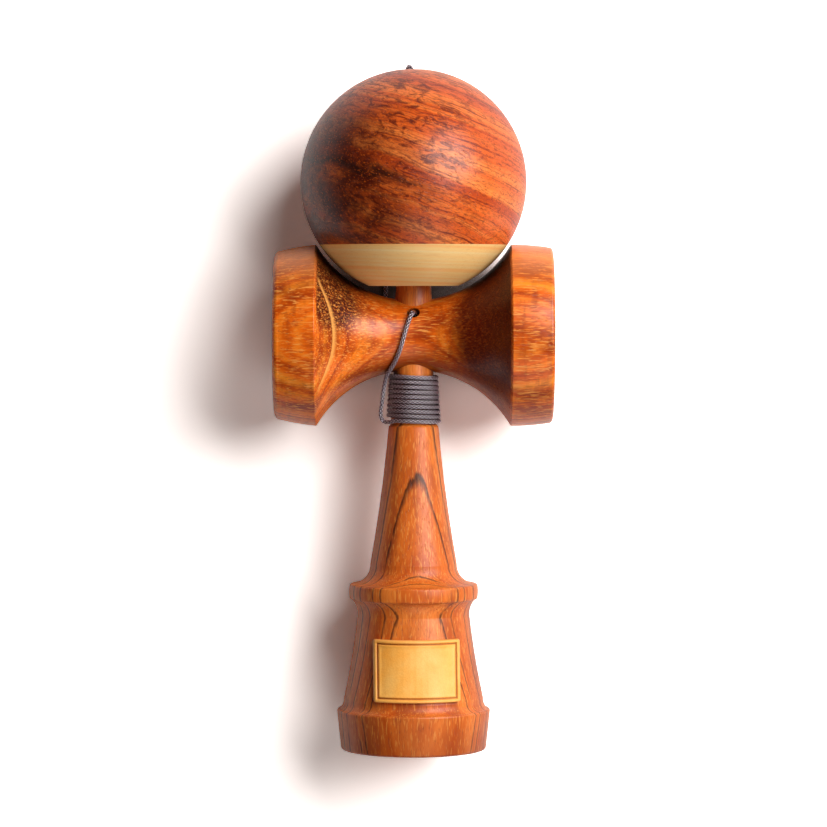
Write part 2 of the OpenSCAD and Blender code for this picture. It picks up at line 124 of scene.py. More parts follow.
front_run = [
    (-0.2, -7.5, 6.0), (-0.6, -8.7, 5.7), (-1.1, -9.3, 4.4), (-1.8, -9.8, 2.4), (-2.4, -10.1, 0.4),
    (-3.1, -10.0, -2.1), (-3.9, -9.3, -4.5), (-4.9, -8.0, -6.8), (-6.0, -6.3, -8.7),
    (-7.0, -4.6, -10.3), (-7.5, -3.4, -12.0), (-7.9, -2.6, -14.0), (-8.2, -2.1, -16.2),
    (-8.5, -1.7, -18.4), (-8.8, -1.4, -20.3), (-8.7, -1.5, -21.8), (-8.0, -2.0, -22.9),
    (-6.9, -2.9, -23.1),
]
back_run = [
    (-1.0, 10.2, 16.2), (-3.2, 11.1, 13.9), (-5.0, 12.6, 11.2), (-6.4, 14.7, 8.4),
    (-7.2, 17.3, 5.7), (-7.6, 20.3, 3.4), (-7.7, 23.5, 1.8), (-7.7, 26.8, 0.9),
    (-7.6, 30.0, 0.7), (-7.6, 33.4, 0.7), (-7.9, 36.8, 0.7), (-8.5, 40.2, 0.7),
    (-9.2, 43.6, 0.7), (-10.0, 47.0, 0.7), (-10.7, 50.4, 0.7), (-11.1, 53.9, 0.7),
    (-11.3, 57.4, 0.7), (-11.3, 60.9, 0.7), (-11.1, 64.4, 0.7), (-10.6, 67.9, 0.7),
    (-9.7, 71.3, 0.7), (-8.5, 74.6, 0.7), (-7.1, 77.8, 0.7), (-5.6, 81.0, 0.7),
    (-4.2, 84.2, 0.7), (-3.1, 87.2, 0.8), (-2.3, 89.6, 1.6), (-1.8, 91.1, 3.4),
    (-1.6, 91.7, 6.0), (-1.5, 91.9, 9.0), (-1.5, 91.9, 12.4), (-1.5, 91.8, 15.8),
    (-1.5, 91.8, 19.2), (-1.5, 91.8, 22.6), (-1.4, 91.8, 25.8), (-1.2, 91.8, 28.4),
    (-0.8, 91.4, 29.7), (-0.3, 90.5, 30.7),
]

neck_top, neck_foot = (5.3, -9.8), (6.1, -23.6)
wind_gap, turn_pitch, turns = 0.1, 1.29, 10
wind_tilt, wind_raise = 0.5, 0.08
wind_low = neck_foot[1] + string_r + wind_gap + wind_raise
wind_start, wind_end = radians(-45), 2 * pi * (turns - 1) + radians(150)
points_per_turn = 60


def in_hole(out):
    """A point of the slanted string hole, that far out from the cross-piece's axis."""
    return from_ken(0, -out * cos(hole_lean), out * sin(hole_lean))


def on_neck(turn):
    """A point of the winding: the neck's radius at that height and half a string more, tipped."""
    z = wind_low + turn / (2 * pi) * turn_pitch - wind_tilt * sin(turn)
    share = (neck_top[1] - z) / (neck_top[1] - neck_foot[1])
    r = neck_top[0] + share * (neck_foot[0] - neck_top[0]) + string_r + wind_gap
    return from_ken(r * sin(turn), -r * cos(turn), z)


def on_ball_axis(out):
    """A point of the ball's axis, that many millimetres above its middle."""
    return ball_origin + along * out * MM


def smooth(points, parts=6):
    """A soft curve through the points: between each two, a few more on a Catmull-Rom spline."""
    ends = [2 * points[0] - points[1], *points, 2 * points[-1] - points[-2]]
    curve = []
    for a, b, c, d in zip(ends, ends[1:], ends[2:], ends[3:]):
        for step in range(parts):
            t = step / parts
            curve.append(
                b + (c - a) * t / 2 + (2 * a - 5 * b + 4 * c - d) * t**2 / 2
                + (3 * b - a - 3 * c + d) * t**3 / 2
            )
    return curve + [points[-1]]


wind_count = round((wind_end - wind_start) / (2 * pi) * points_per_turn)
winding = [
    on_neck(wind_start + i / wind_count * (wind_end - wind_start)) for i in range(wind_count + 1)
]
string_top = 27.6
start_run = smooth(
    [in_hole(-knot_depth), in_hole(hole_middle), in_hole(hole_mouth)]
    + [from_ken(*p) for p in front_run]
    + [winding[0]]
)
end_run = smooth(
    [winding[-1]]
    + [Vector(p) * MM for p in back_run]
    + [on_ball_axis(string_top + 2 * string_r), on_ball_axis(string_top)]
)
string_path = start_run[:-1] + winding + end_run[1:]

# %% [markdown]
# ## Braiding the string
# A braided cord is strands that wind both ways round a core and pass over and under each other.
# A picture of a braid on a smooth tube would look flat from close by, so the strands are modelled.
# Geometry Nodes suit this: one tree makes the strands of any route. It copies the route once for
# each strand, turns each copy round the route, half of them one way and half the other, and lets
# the distance from the middle rise and fall so that each strand goes over one and under the next.

# %% Helpers for node trees
def add_node(tree, kind, inputs=(), **settings):
    """A new node. An input is given by name or number; a socket is linked, a value is set."""
    node = tree.nodes.new(kind)
    for name, value in settings.items():
        setattr(node, name, value)
    for name, value in dict(inputs).items():
        if isinstance(value, bpy.types.NodeSocket):
            tree.links.new(value, node.inputs[name])
        else:
            node.inputs[name].default_value = value
    return node


def calculate(tree, operation, *values):
    """One step of arithmetic on sockets or numbers."""
    return add_node(tree, "ShaderNodeMath", enumerate(values), operation=operation).outputs[0]


def combine(tree, operation, *values):
    """One step of vector arithmetic. The second input of SCALE is its number."""
    places = (0, 3) if operation == "SCALE" else range(len(values))
    node = add_node(tree, "ShaderNodeVectorMath", zip(places, values), operation=operation)
    return node.outputs[1 if operation == "DOT_PRODUCT" else 0]


print("node helpers ready:", add_node.__name__, calculate.__name__, combine.__name__)

# %% Build the braiding tree
braid_sizes = {
    "Strand step": 0.27 * MM,
    "Braid radius": 0.37 * MM,
    "Weave depth": 0.12 * MM,
    "Strand radius": 0.19 * MM,
    "Core radius": 0.36 * MM,
    "Lay length": 4.6 * MM,
}
strand_pairs, strand_sides = 4, 5
core_sides, core_steps = 6, 3.0


def braiding_tree():
    tree = bpy.data.node_groups.new("braid", "GeometryNodeTree")
    tree.is_modifier = True
    face = tree.interface
    face.new_socket("Route", in_out="INPUT", socket_type="NodeSocketGeometry")
    for name in braid_sizes:
        face.new_socket(name, in_out="INPUT", socket_type="NodeSocketFloat")
    face.new_socket("Material", in_out="INPUT", socket_type="NodeSocketMaterial")
    face.new_socket("Braid", in_out="OUTPUT", socket_type="NodeSocketGeometry")
    given = add_node(tree, "NodeGroupInput").outputs
    made = add_node(tree, "NodeGroupOutput")

    route = add_node(tree, "GeometryNodeMeshToCurve", {"Mesh": given["Route"]}).outputs[0]
    fine = add_node(
        tree, "GeometryNodeResampleCurve",
        {"Curve": route, "Length": given["Strand step"]}, mode="LENGTH",
    ).outputs[0]
    copies = add_node(
        tree, "GeometryNodeDuplicateElements",
        {"Geometry": fine, "Amount": 2 * strand_pairs}, domain="SPLINE",
    )
    number = copies.outputs["Duplicate Index"]
    way = calculate(tree, "MULTIPLY_ADD", calculate(tree, "MODULO", number, 2.0), -2.0, 1.0)
    place = calculate(tree, "FLOOR", calculate(tree, "DIVIDE", number, 2.0))
    length = add_node(tree, "GeometryNodeSplineParameter").outputs["Length"]
    turn = calculate(tree, "DIVIDE", calculate(tree, "MULTIPLY", length, 2 * pi), given["Lay length"])
    angle = calculate(
        tree, "ADD",
        calculate(tree, "MULTIPLY", turn, way),
        calculate(tree, "MULTIPLY", place, 2 * pi / strand_pairs),
    )
    weave = calculate(tree, "COSINE", calculate(tree, "MULTIPLY", turn, float(strand_pairs)))
    depth = calculate(tree, "MULTIPLY", calculate(tree, "MULTIPLY", weave, way), given["Weave depth"])
    radius = calculate(tree, "ADD", given["Braid radius"], depth)

    normal = add_node(tree, "GeometryNodeInputNormal").outputs[0]
    tangent = add_node(tree, "GeometryNodeInputTangent").outputs[0]
    across = combine(tree, "CROSS_PRODUCT", tangent, normal)
    offset = combine(
        tree, "ADD",
        combine(tree, "SCALE", normal, calculate(tree, "COSINE", angle)),
        combine(tree, "SCALE", across, calculate(tree, "SINE", angle)),
    )
    over = add_node(
        tree, "GeometryNodeStoreNamedAttribute",
        {"Geometry": copies.outputs["Geometry"], "Name": "over",
         "Value": calculate(tree, "MULTIPLY_ADD", calculate(tree, "MULTIPLY", weave, way), 0.5, 0.5)},
        data_type="FLOAT", domain="POINT",
    ).outputs[0]
    strands = add_node(
        tree, "GeometryNodeSetPosition",
        {"Geometry": over, "Offset": combine(tree, "SCALE", offset, radius)},
    ).outputs[0]
    rings = {}
    for name, sides in (("Strand radius", strand_sides), ("Core radius", core_sides)):
        rings[name] = add_node(
            tree, "GeometryNodeCurvePrimitiveCircle",
            {"Resolution": sides, "Radius": given[name]}, mode="RADIUS",
        ).outputs[0]
    core_step = calculate(tree, "MULTIPLY", given["Strand step"], core_steps)
    coarse = add_node(
        tree, "GeometryNodeResampleCurve", {"Curve": route, "Length": core_step}, mode="LENGTH"
    ).outputs[0]
    join = add_node(tree, "GeometryNodeJoinGeometry")
    for curve, ring in ((strands, "Strand radius"), (coarse, "Core radius")):
        swept = add_node(
            tree, "GeometryNodeCurveToMesh",
            {"Curve": curve, "Profile Curve": rings[ring], "Fill Caps": True},
        ).outputs[0]
        tree.links.new(swept, join.inputs[0])
    shaded = add_node(tree, "GeometryNodeSetShadeSmooth", {"Geometry": join.outputs[0]}).outputs[0]
    real = add_node(tree, "GeometryNodeRealizeInstances", {"Geometry": shaded}).outputs[0]
    finished = add_node(
        tree, "GeometryNodeSetMaterial", {"Geometry": real, "Material": given["Material"]}
    ).outputs[0]
    tree.links.new(finished, made.inputs[0])
    return tree


braid_tree = braiding_tree()
print("braiding tree:", len(braid_tree.nodes), "nodes")

# %% [markdown]
# ## Helpers for finishes
# Every finish here is a small tree of nodes that works on Object coordinates, so it stays fixed in
# the wood when the piece turns. A few short functions keep the trees readable: one gives places in
# millimetres in the piece's own frame, one says how open a point lies, and the others add noise,
# ramps, mixes and stains.

# %% Helpers for finishes
def tone(red, green, blue):
    """A colour written as 0 to 255 screen values, as the linear colour that a shader takes."""
    linear = []
    for value in (red, green, blue):
        share = value / 255
        linear.append(share / 12.92 if share <= 0.04045 else ((share + 0.055) / 1.055) ** 2.4)
    return (*linear, 1)


def new_finish(name):
    """An empty finish: its material, its node tree and its shader."""
    material = bpy.data.materials.new(name)
    material.use_nodes = True
    return material, material.node_tree, material.node_tree.nodes["Principled BSDF"]


def in_frame(tree, origin, turn):
    """Places in millimetres in a frame with that origin and turn."""
    place = add_node(tree, "ShaderNodeTexCoord").outputs["Object"]
    return add_node(
        tree, "ShaderNodeMapping",
        {"Vector": place, "Location": origin, "Rotation": turn, "Scale": (MM, MM, MM)},
        vector_type="TEXTURE",
    ).outputs[0]


def noise(tree, place, size, detail=2.0, rough=0.5, bend=0.0):
    """Soft random values from 0 to 1. The size gives the lengths of a spot along X, Y and Z, in mm."""
    scaled = combine(tree, "DIVIDE", place, size)
    return add_node(
        tree, "ShaderNodeTexNoise",
        {"Vector": scaled, "Scale": 1.0, "Detail": detail, "Roughness": rough, "Distortion": bend},
    ).outputs[0]


def layers(tree, depth, size, rough=0.55):
    """Random values that change only with depth, as growth layers do."""
    scaled = calculate(tree, "DIVIDE", depth, size)
    return add_node(
        tree, "ShaderNodeTexNoise",
        {"W": scaled, "Scale": 1.0, "Detail": 3.0, "Roughness": rough}, noise_dimensions="1D",
    ).outputs[0]


def between(tree, value, low, high):
    """0 at low, 1 at high, and a smooth step between them."""
    return add_node(
        tree, "ShaderNodeMapRange",
        {"Value": value, "From Min": low, "From Max": high}, interpolation_type="SMOOTHSTEP",
    ).outputs[0]


def blot(tree, place, middle, reach):
    """1 at a place in the wood, and smoothly 0 at that reach along X, Y and Z from it."""
    away = combine(tree, "DIVIDE", combine(tree, "SUBTRACT", place, middle), reach)
    far = add_node(tree, "ShaderNodeVectorMath", {0: away}, operation="LENGTH").outputs["Value"]
    return between(tree, far, 1.0, 0.0)


def ramp(tree, value, *stops):
    """Colours along a value: each stop is a position from 0 to 1 and a colour."""
    node = add_node(tree, "ShaderNodeValToRGB", {0: value})
    elements = node.color_ramp.elements
    while len(elements) < len(stops):
        elements.new(1)
    for element, (position, colour) in zip(elements, stops):
        element.position = position
        element.color = colour
    return node.outputs[0]


def mix(tree, share, first, second):
    """Two colours mixed by a share from 0 to 1."""
    return add_node(
        tree, "ShaderNodeMix", {0: share, 6: first, 7: second}, data_type="RGBA"
    ).outputs[2]


def stain(tree, body, share, strength, colour):
    """The body's colour, stained where the share is high, and at most by that strength."""
    return mix(tree, calculate(tree, "MULTIPLY", share, strength), body, colour)


def openness(tree, reach, samples=8):
    """How much a point sees of what lies around it within that reach: 1 in the open, 0 in a nook."""
    return add_node(
        tree, "ShaderNodeAmbientOcclusion", {"Distance": reach}, samples=samples
    ).outputs["AO"]


def roughen(tree, shader, height, depth):
    """Bump from a height of 0 to 1 that is that deep, in metres."""
    bump = add_node(tree, "ShaderNodeBump", {"Height": height, "Distance": depth, "Strength": 1.0})
    tree.links.new(bump.outputs[0], shader.inputs["Normal"])


print("finish helpers ready; a mid tone is", [round(x, 3) for x in tone(128, 128, 128)])

# %% [markdown]
# ## The string's finish
# The string is grey nylon with a slight violet cast. A strand shines where it passes over another
# and lies open to the light. From the camera's height the gaps between strands and turns are hardly
# wider than a pixel, and light that leaks into them would make the winding look flat. So the braid
# carries an attribute that says which strand is on top, a strand that passes under another gets painted
# shade, and an occlusion node paints shade into the gaps.

# %% Finish the string
def string_finish():
    material, tree, shader = new_finish("string_nylon")
    place = in_frame(tree, (0, 0, 0), (0, 0, 0))
    fibres = noise(tree, place, (0.12, 0.12, 0.12), detail=3.0)
    wear = noise(tree, place, (9, 9, 9), detail=1.0)
    over = add_node(tree, "ShaderNodeAttribute", attribute_name="over").outputs["Fac"]
    on_top = between(tree, over, 0.3, 0.95)
    gap_shade = between(tree, openness(tree, string_d), 0.88, 0.5)
    colour = ramp(tree, fibres, (0.25, tone(58, 48, 55)), (0.75, tone(168, 146, 162)))
    # Painted shade: a strand darkens where it passes under another.
    colour = mix(tree, on_top, tone(14, 10, 12), colour)
    colour = stain(tree, colour, wear, 0.08, tone(172, 156, 170))
    # Painted shade in the gaps between strands and turns.
    colour = mix(tree, gap_shade, colour, tone(8, 5, 6))
    tree.links.new(colour, shader.inputs["Base Color"])
    bare = calculate(tree, "MULTIPLY", on_top, calculate(tree, "SUBTRACT", 1.0, gap_shade))
    tree.links.new(bare, shader.inputs["Specular IOR Level"])
    gloss = calculate(tree, "MULTIPLY_ADD", fibres, 0.12, 0.33)
    tree.links.new(gloss, shader.inputs["Roughness"])
    shader.inputs["Specular Tint"].default_value = (1.0, 0.91, 0.98, 1)
    shader.inputs["IOR"].default_value = 3.0
    roughen(tree, shader, fibres, 0.006 * MM)
    return material


string_material = string_finish()
print("string finish:", string_material.name)

# %% [markdown]
# ## The string's pieces
# The long run is one piece. The stretch inside the ball and the two stopper knots are three more. A
# knot is hidden in the wood, so a round lump would do, but the braiding tree takes any route, and a
# few wraps of string are as easy and true from every side.

# %% Braid the string along its route
def braid(name, path):
    """A braided piece along a path, as a plain mesh."""
    mesh = bpy.data.meshes.new(name)
    mesh.from_pydata(path, [(i, i + 1) for i in range(len(path) - 1)], [])
    piece = bpy.data.objects.new(name, mesh)
    bpy.context.scene.collection.objects.link(piece)
    modifier = piece.modifiers.new("braid", "NODES")
    modifier.node_group = braid_tree
    values = {**braid_sizes, "Material": string_material}
    for socket in braid_tree.interface.items_tree:
        if socket.in_out == "INPUT" and socket.name in values:
            modifier[socket.identifier] = values[socket.name]
    bpy.context.view_layer.update()
    finished = piece.evaluated_get(bpy.context.evaluated_depsgraph_get())
    braided = bpy.data.meshes.new_from_object(finished)
    piece.modifiers.remove(modifier)
    piece.data = braided
    print(name, "has", sum(len(face.vertices) - 2 for face in braided.polygons), "triangles")
    return piece


knot_length, knot_radius, knot_tail = 2.45, 1.1, 0.4
knot_turns, points_per_wrap = 2, 24


def knot_path(place_at):
    """A stopper knot: the string comes in at the end, wraps round itself and leaves in the middle."""
    count = knot_turns * points_per_wrap
    wraps = []
    for i in range(count + 1):
        turn = 2 * pi * knot_turns * i / count
        height = string_r + (knot_length - 2 * string_r) * (1 - i / count)
        wraps.append(place_at(knot_radius * cos(turn), knot_radius * sin(turn), height))
    return smooth([place_at(0, 0, knot_length), wraps[0]])[:-1] + wraps + [place_at(0, 0, knot_tail)]


hole_out = Vector((0, -cos(hole_lean), sin(hole_lean)))
hole_up = Vector((0, sin(hole_lean), cos(hole_lean)))
ball_across = Vector((1, 0, 0)).cross(along)
knot_in_ball_low, inside_middle = 8.47, 19


def in_ken_knot(a, b, c):
    spot = hole_out * (c - knot_depth - knot_length) + hole_up * b
    return from_ken(a, spot.y, spot.z)


def in_ball_knot(a, b, c):
    return on_ball_axis(c + knot_in_ball_low) + (Vector((1, 0, 0)) * a + ball_across * b) * MM


long_string = braid("string", string_path)
string_in_ball = braid(
    "string_in_bead",
    [on_ball_axis(out) for out in (string_top, inside_middle, knot_in_ball_low + knot_length)],
)
ken_knot = braid("knot_in_handle", knot_path(in_ken_knot))
ball_knot = braid("knot_under_bead", knot_path(in_ball_knot))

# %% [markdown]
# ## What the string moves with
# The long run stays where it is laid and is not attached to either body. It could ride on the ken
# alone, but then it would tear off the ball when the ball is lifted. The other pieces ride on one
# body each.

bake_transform(long_string)
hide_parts("string_in_ken", "string_front", "string_winding", "string_back")
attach(string_in_ball, "string_end")
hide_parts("string_in_ball")
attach(ken_knot, "ken")
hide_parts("ken_knot")
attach(ball_knot, "string_end")
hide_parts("ball_knot")

# %% [markdown]
# ## The floor
# The toy lies on a white table. A floor of pure white would throw so much light back that the wood
# looked pale, so the floor is a greyer paper for the wood's sake. It shows its white to the camera,
# and a share of it in the wood's sheen. Close under the toy an occlusion node swaps the white for
# painted shade, so the gap under the ball stays dark, and a trace of painted glow keeps the open shadow
# slightly pink.

# %% Lay the floor
gloss_share, shadow_lift = 0.4, 0.06
cover_reach, covered, uncovered = 60 * MM, 0.15, 0.34


def floor_finish():
    material, tree, shader = new_finish("white_table")
    path = add_node(tree, "ShaderNodeLightPath").outputs
    mirrored = calculate(tree, "MULTIPLY", path["Is Glossy Ray"], gloss_share)
    seen = calculate(
        tree, "MAXIMUM", path["Is Camera Ray"],
        calculate(tree, "MAXIMUM", mirrored, path["Is Transmission Ray"]),
    )
    grain = noise(tree, in_frame(tree, (0, 0, 0), (0, 0, 0)), (40, 40, 40))
    paper = ramp(tree, grain, (0.3, (0.42, 0.37, 0.35, 1)), (0.7, (0.44, 0.39, 0.37, 1)))
    # Painted shade: where the toy covers the floor closely, the white gives way to near-black.
    clear = between(tree, openness(tree, cover_reach, samples=32), covered, uncovered)
    white = mix(tree, clear, (0.1, 0.09, 0.09, 1), (1.9, 1.81, 1.78, 1))
    colour = mix(tree, seen, paper, white)
    tree.links.new(colour, shader.inputs["Base Color"])
    shader.inputs["Roughness"].default_value = 1.0
    shader.inputs["Specular IOR Level"].default_value = 0.0
    shader.inputs["Emission Color"].default_value = (1.0, 0.78, 0.7, 1)
    # Painted glow, seen only by the camera, lifts the open shadow.
    shown = calculate(tree, "MULTIPLY", path["Is Camera Ray"], clear)
    glow = calculate(tree, "MULTIPLY", shown, shadow_lift)
    tree.links.new(glow, shader.inputs["Emission Strength"])
    return material


floor_half = 1.6
floor_mesh = bpy.data.meshes.new("table")
corners = [(x * floor_half, y * floor_half, 0) for x, y in ((-1, -1), (1, -1), (1, 1), (-1, 1))]
floor_mesh.from_pydata(corners, [], [(0, 1, 2, 3)])
floor_mesh.materials.append(floor_finish())
floor = bpy.data.objects.new("table", floor_mesh)
bpy.context.scene.collection.objects.link(floor)
print("floor:", 2 * floor_half, "m wide")

# %% [markdown]
# ## The light
# One large soft lamp stands to the right and above the ball's end, so the shadow falls to the left,
# and a weak one at the handle's end opens the shaded side. The surround is paler near the horizon and
# dark overhead, which gives the satin wood pale rims and deep tones in the middle. It is dimmer still
# in the wood's sheen, where a bright one looks milky, and the camera sees it white.

# %% Light the scene
key_from = Vector((0.62, 0.40, 0.74))
key_distance = 1.5
key_size = 1.15
key_power = 34.5
lamp_colour = (1.0, 0.985, 0.965)

fill_from = Vector((0.25, -0.75, 0.6))
fill_share = 0.16


def add_lamp(name, direction, power):
    """A square soft lamp on that side, aimed at the toy."""
    light = bpy.data.lights.new(name, "AREA")
    light.shape = "SQUARE"
    light.size = key_size
    light.energy = power
    light.color = lamp_colour
    lamp = bpy.data.objects.new(name, light)
    lamp.location = direction.normalized() * key_distance
    lamp.rotation_euler = direction.to_track_quat("Z", "Y").to_euler()
    bpy.context.scene.collection.objects.link(lamp)
    print(name, "at", [round(x, 3) for x in lamp.location], "power", power)


add_lamp("softbox", key_from, key_power)
add_lamp("fill", fill_from, key_power * fill_share)

# %% Set the surround
mirrored_sky = 0.35


def surround():
    world = bpy.data.worlds.new("studio")
    world.use_nodes = True
    tree = world.node_tree
    direction = add_node(tree, "ShaderNodeTexCoord").outputs["Generated"]
    height = add_node(tree, "ShaderNodeSeparateXYZ", {0: direction}).outputs["Z"]
    sky = ramp(
        tree, height,
        (0.0, (0.18, 0.14, 0.125, 1)), (0.35, (0.09, 0.07, 0.06, 1)), (0.7, (0.02, 0.016, 0.016, 1)),
    )
    path = add_node(tree, "ShaderNodeLightPath").outputs
    sky = mix(tree, path["Is Glossy Ray"], sky, mix(tree, mirrored_sky, (0, 0, 0, 1), sky))
    colour = mix(tree, path["Is Camera Ray"], sky, (1, 1, 1, 1))
    tree.links.new(colour, tree.nodes["Background"].inputs["Color"])
    return world


bpy.context.scene.world = surround()
bpy.context.scene.view_settings.view_transform = "Standard"
print("surround:", bpy.context.scene.world.name)

# %% [markdown]
# ## Helpers for the woods
# Wood is a stack of growth layers, and which layer shows at a point depends on how deep the point
# lies across them. A painted picture would have to be fitted to every turned shape. A depth that
# wanders a little, and thin lines at chosen depths, fit all of them. The woods share one satin
# surface, which gets painted shade in nooks, where two pieces meet and little light comes in.

# %% Helpers for the woods
upright = (lean - pi / 2, 0, 0)


def depth_along(tree, place, direction):
    """How deep a place lies along a direction across the growth layers, in millimetres."""
    return combine(tree, "DOT_PRODUCT", place, direction)


def waved(tree, depth, place, size, swing):
    """The depth of layers that wander by that many millimetres, over spots of that size."""
    wander = noise(tree, place, size, detail=3.0)
    return calculate(tree, "MULTIPLY_ADD", calculate(tree, "SUBTRACT", wander, 0.5), 2 * swing, depth)


def ink_lines(tree, depth, *lines):
    """1 on growth lines, 0 between. A line is a depth, a sharp side, a soft side and a weight."""
    total = 0.0
    for at, sharp, soft, weight in lines:
        rise = between(tree, depth, at - sharp, at)
        fall = between(tree, depth, at + soft, at)
        line = calculate(tree, "MULTIPLY", calculate(tree, "MULTIPLY", rise, fall), weight)
        total = calculate(tree, "MAXIMUM", total, line)
    return total


nook_reach, nook_open, nook_closed = 9 * MM, 0.44, 0.12
wood_relief = 0.03 * MM


def satin(tree, shader, colour, fibres, pores, polish=0.33, nook=tone(16, 7, 4)):
    """The oiled satin of all the woods: fibres and pores change gloss and relief, nooks get painted
    shade.
    """
    # Painted shade: the colour turns to the nook tone where an occlusion node finds little open space.
    nook_shade_share = between(tree, openness(tree, nook_reach), nook_open, nook_closed)
    tree.links.new(mix(tree, nook_shade_share, colour, nook), shader.inputs["Base Color"])
    gloss = calculate(tree, "MULTIPLY_ADD", fibres, 0.16, polish - 0.08)
    tree.links.new(calculate(tree, "MULTIPLY_ADD", pores, 0.2, gloss), shader.inputs["Roughness"])
    relief = calculate(tree, "SUBTRACT", calculate(tree, "MULTIPLY", fibres, 0.5), pores)
    roughen(tree, shader, relief, wood_relief)
    shader.inputs["Specular IOR Level"].default_value = 0.4


def assign(node, material):
    """A CAD node keeps its mesh and gets a finish."""
    nodes[node].material_slots[0].material = material
    print(node, "is finished with", material.name)


print("wood helpers ready; nooks reach", round(nook_reach / MM, 2), "mm")

# %% [markdown]
# ## The handle's wood
# The handle is turned from a warm orange-brown wood with thin ink-dark growth lines. Growth layers
# are nearly flat sheets in a piece this small, and where the lathe cuts through a sheet at a slant
# it leaves the pointed arches on the handle's front. So the lines aren't painted as arches: each
# sheet is a height above the axis, and the turned shape makes the arch by itself.

# %% Finish the handle's wood
lines_begin, lines_full = -6.0, -16.0
shaded_base_begins, shaded_base_full = -97.0, -112.0


def ken_finish():
    material, tree, shader = new_finish("oiled_handle_wood")
    place = in_frame(tree, ken_origin, upright)
    depth = waved(tree, depth_along(tree, place, (0.113, -1, 0)), place, (9, 9, 40), 0.55)
    depth = waved(tree, depth, place, (1.6, 1.6, 9), 0.24)
    depth = waved(tree, depth, place, (0.5, 0.5, 2.6), 0.12)
    lines = ink_lines(
        tree, depth,
        (-14.5, 0.3, 1.0, 0.8), (-10.2, 0.3, 0.9, 0.9), (-5.1, 0.25, 0.8, 0.8), (4.7, 0.25, 0.7, 1.0),
        (8.0, 0.16, 0.55, 1.0), (12.2, 0.14, 0.36, 0.95), (13.8, 0.14, 0.36, 0.95),
    )
    broken = noise(tree, place, (2.2, 2.2, 7), detail=2.0)
    lines = calculate(tree, "MULTIPLY", lines, between(tree, broken, 0.22, 0.5))
    height = add_node(tree, "ShaderNodeSeparateXYZ", {0: place}).outputs["Z"]
    lines = calculate(tree, "MULTIPLY", lines, between(tree, height, lines_begin, lines_full))
    sheets = layers(tree, depth, 3.2)
    fibres = noise(tree, place, (0.7, 0.7, 14), detail=4.0, rough=0.6)
    dashes = noise(tree, place, (0.38, 0.38, 4.5), detail=2.0)
    pores = between(tree, noise(tree, place, (0.24, 0.24, 3.2), detail=1.0), 0.62, 0.74)
    clouds = noise(tree, place, (7, 7, 26), detail=3.0)

    body = ramp(
        tree, sheets, (0.30, tone(188, 78, 16)), (0.5, tone(218, 108, 34)), (0.70, tone(242, 140, 58))
    )
    body = mix(tree, between(tree, clouds, 0.45, 0.72), body, tone(170, 76, 28))
    body = stain(tree, body, between(tree, fibres, 0.5, 0.75), 0.6, tone(160, 70, 28))
    body = stain(tree, body, between(tree, dashes, 0.54, 0.68), 0.6, tone(240, 156, 74))
    body = stain(tree, body, pores, 0.45, tone(118, 48, 20))
    # Painted shade: the wood darkens towards the end of the base.
    body = stain(tree, body, between(tree, height, shaded_base_begins, shaded_base_full), 0.45, tone(124, 44, 8))
    body = stain(tree, body, lines, 0.88, tone(52, 24, 14))
    satin(tree, shader, body, fibres, pores, polish=0.38)
    return material


assign("ken", ken_finish())

# %% [markdown]
# ## The cross-piece's wood
# The cross-piece is the same kind of wood with its grain across the toy. The lathe cuts its fibres
# at every slant, so they show as long dashes on the waist, as short flecks on the flares, and as
# rows of ripples on the cups. Stretched noise is a bundle of fibres, and the shape does the rest.

# %% Finish the cross-piece's wood
left_edge, right_edge, edge_soft = -25.4, 25.5, 0.2


